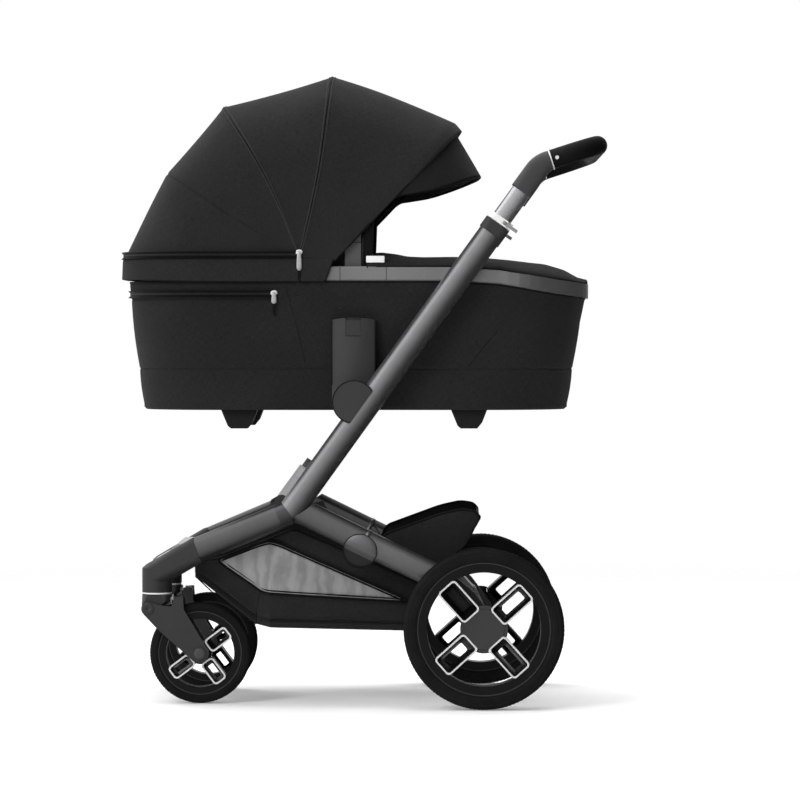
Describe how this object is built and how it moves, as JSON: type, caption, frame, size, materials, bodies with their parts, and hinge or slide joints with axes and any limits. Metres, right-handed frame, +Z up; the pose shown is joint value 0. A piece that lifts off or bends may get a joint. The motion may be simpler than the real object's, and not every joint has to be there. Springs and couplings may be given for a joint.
{
  "type": "baby stroller",
  "caption": "Baby stroller with lift-off carrycot, folding canopy, telescopic handle, folding pushbar, swivelling sprung casters and a shopping basket.",
  "frame": {"origin": "floor level, at the middle of the overall length and width", "axes": "+Z up, +X towards the handle at the rear, left side is -Y"},
  "size_m": [0.8893, 0.606, 1.1508],
  "materials": {
    "black_plastic": "satin",
    "canopy_fabric": "fine melange weave",
    "charcoal_fabric": "fine melange weave",
    "chrome_trim": "polished",
    "dark_plastic": "satin",
    "frame_tube": "satin graphite",
    "grip_leather": "fine grain",
    "mattress_fabric": "soft knit",
    "silver_cover": "satin",
    "silver_tube": "satin",
    "steel": "satin",
    "tyre_rubber": "matt"
  },
  "bodies": {
    "chassis": {"front_leg_left": "frame_tube", "front_leg_right": "frame_tube", "rear_leg_left": "frame_tube", "rear_leg_right": "frame_tube", "frame_hinges": "dark_plastic", "caster_housings": "dark_plastic", "cross_bar": "black_plastic", "cross_cover": "silver_cover", "basket_shell": "charcoal_fabric", "basket_scoop": "charcoal_fabric"},
    "rear_frame": {"lower_leg_left": "frame_tube", "lower_leg_right": "frame_tube", "axle_feet": "dark_plastic", "rear_axle": "steel"},
    "brake": {"brake_pedal": "steel"},
    "pushbar": {"pushbar_left": "frame_tube", "pushbar_right": "frame_tube", "tube_collars": "dark_plastic", "clamp_bands": "silver_cover", "adapter_discs": "dark_plastic"},
    "handle": {"inner_tubes": "silver_tube", "handle_elbows": "dark_plastic", "handle_trims": "chrome_trim", "handle_grip": "grip_leather"},
    "carrycot": {"cot_shell": "charcoal_fabric", "cot_base": "dark_plastic", "cot_rim": "dark_plastic", "mattress": "mattress_fabric", "apron": "charcoal_fabric", "adapter_brackets": "dark_plastic", "canopy_hinges": "dark_plastic", "canopy_rear": "canopy_fabric", "zip_pulls": "chrome_trim"},
    "canopy": {"canopy_front": "canopy_fabric", "front_bow": "steel", "visor": "canopy_fabric"},
    "canopy_middle": {"middle_bow": "steel"},
    "rear_wheel_left": {"rear_tyre_left": "tyre_rubber", "rear_rim_left": "dark_plastic", "rear_trim_left": "chrome_trim", "rear_cap_left": "dark_plastic"},
    "caster_left": {"knuckle_left": "dark_plastic"},
    "caster_fork_left": {"fork_left": "dark_plastic"},
    "front_wheel_left": {"front_tyre_left": "tyre_rubber", "front_rim_left": "dark_plastic", "front_trim_left": "chrome_trim"},
    "lever_left": {"clamp_lever_left": "dark_plastic"},
    "button_left": {"release_button_left": "dark_plastic"},
    "rear_wheel_right": {"rear_tyre_right": "tyre_rubber", "rear_rim_right": "dark_plastic", "rear_trim_right": "chrome_trim", "rear_cap_right": "dark_plastic"},
    "caster_right": {"knuckle_right": "dark_plastic"},
    "caster_fork_right": {"fork_right": "dark_plastic"},
    "front_wheel_right": {"front_tyre_right": "tyre_rubber", "front_rim_right": "dark_plastic", "front_trim_right": "chrome_trim"},
    "lever_right": {"clamp_lever_right": "dark_plastic"},
    "button_right": {"release_button_right": "dark_plastic"}
  },
  "joints": [
    {"name": "rear_suspension", "type": "hinge", "parent": "chassis", "child": "rear_frame", "pos_m": [-0.006, 0, 0.2844], "axis": [0, -1, 0], "range_deg": [0, 3], "stiffness_Nm_per_rad": 400, "springref_deg": -5.73},
    {"name": "brake_press", "type": "hinge", "parent": "rear_frame", "child": "brake", "pos_m": [0.2179, 0, 0.1458], "axis": [0, 1, 0], "range_deg": [0, 15]},
    {"name": "frame_fold", "type": "hinge", "parent": "chassis", "child": "pushbar", "pos_m": [-0.1491, 0, 0.3731], "axis": [0, -1, 0], "range_deg": [0, 118]},
    {"name": "handle_slide", "type": "slide", "parent": "pushbar", "child": "handle", "axis": [0.585, 0, 0.8111], "range_m": [-0.05, 0.055]},
    {"name": "cot_lift", "type": "slide", "parent": "chassis", "child": "carrycot", "axis": [0, 0, 1], "range_m": [0, 0.16]},
    {"name": "canopy_fold", "type": "hinge", "parent": "carrycot", "child": "canopy", "pos_m": [-0.05, 0, 0.826], "axis": [0, -1, 0], "range_deg": [0, 70], "deforming": ["canopy_front"]},
    {"name": "middle_bow_fold", "type": "hinge", "parent": "carrycot", "child": "canopy_middle", "pos_m": [-0.05, 0, 0.826], "axis": [0, -1, 0], "range_deg": [0, 35]},
    {"name": "rear_wheel_left_spin", "type": "hinge", "parent": "rear_frame", "child": "rear_wheel_left", "pos_m": [0.2179, -0.28, 0.1458], "axis": [0, 1, 0], "continuous": true},
    {"name": "caster_left_swivel", "type": "hinge", "parent": "chassis", "child": "caster_left", "pos_m": [-0.38, -0.145, 0.2], "axis": [0, 0, 1], "continuous": true},
    {"name": "fork_left_suspension", "type": "hinge", "parent": "caster_left", "child": "caster_fork_left", "pos_m": [-0.3948, -0.145, 0.1746], "axis": [0, -1, 0], "range_deg": [0, 4], "stiffness_Nm_per_rad": 90, "springref_deg": -6.88},
    {"name": "front_wheel_left_spin", "type": "hinge", "parent": "caster_fork_left", "child": "front_wheel_left", "pos_m": [-0.3005, -0.145, 0.093], "axis": [0, 1, 0], "continuous": true},
    {"name": "lever_left_flip", "type": "hinge", "parent": "pushbar", "child": "lever_left", "pos_m": [0.25155, -0.2585, 0.87231], "axis": [-0.585, 0, -0.8111], "range_deg": [0, 80]},
    {"name": "button_left_push", "type": "slide", "parent": "carrycot", "child": "button_left", "axis": [0, 1, 0], "range_m": [0, 0.0022], "stiffness_N_per_m": 500, "springref_m": -0.001},
    {"name": "rear_wheel_right_spin", "type": "hinge", "parent": "rear_frame", "child": "rear_wheel_right", "pos_m": [0.2179, 0.28, 0.1458], "axis": [0, 1, 0], "continuous": true},
    {"name": "caster_right_swivel", "type": "hinge", "parent": "chassis", "child": "caster_right", "pos_m": [-0.38, 0.145, 0.2], "axis": [0, 0, 1], "continuous": true},
    {"name": "fork_right_suspension", "type": "hinge", "parent": "caster_right", "child": "caster_fork_right", "pos_m": [-0.3948, 0.145, 0.1746], "axis": [0, -1, 0], "range_deg": [0, 4], "stiffness_Nm_per_rad": 90, "springref_deg": -6.88},
    {"name": "front_wheel_right_spin", "type": "hinge", "parent": "caster_fork_right", "child": "front_wheel_right", "pos_m": [-0.3005, 0.145, 0.093], "axis": [0, 1, 0], "continuous": true},
    {"name": "lever_right_flip", "type": "hinge", "parent": "pushbar", "child": "lever_right", "pos_m": [0.25155, 0.2585, 0.87231], "axis": [0.585, 0, 0.8111], "range_deg": [0, 80]},
    {"name": "button_right_push", "type": "slide", "parent": "carrycot", "child": "button_right", "axis": [0, -1, 0], "range_m": [0, 0.0022], "stiffness_N_per_m": 500, "springref_m": -0.001}
  ],
  "couplings": [
    {"joint": "middle_bow_fold", "follows": "canopy_fold", "ratio": 0.5}
  ]
}
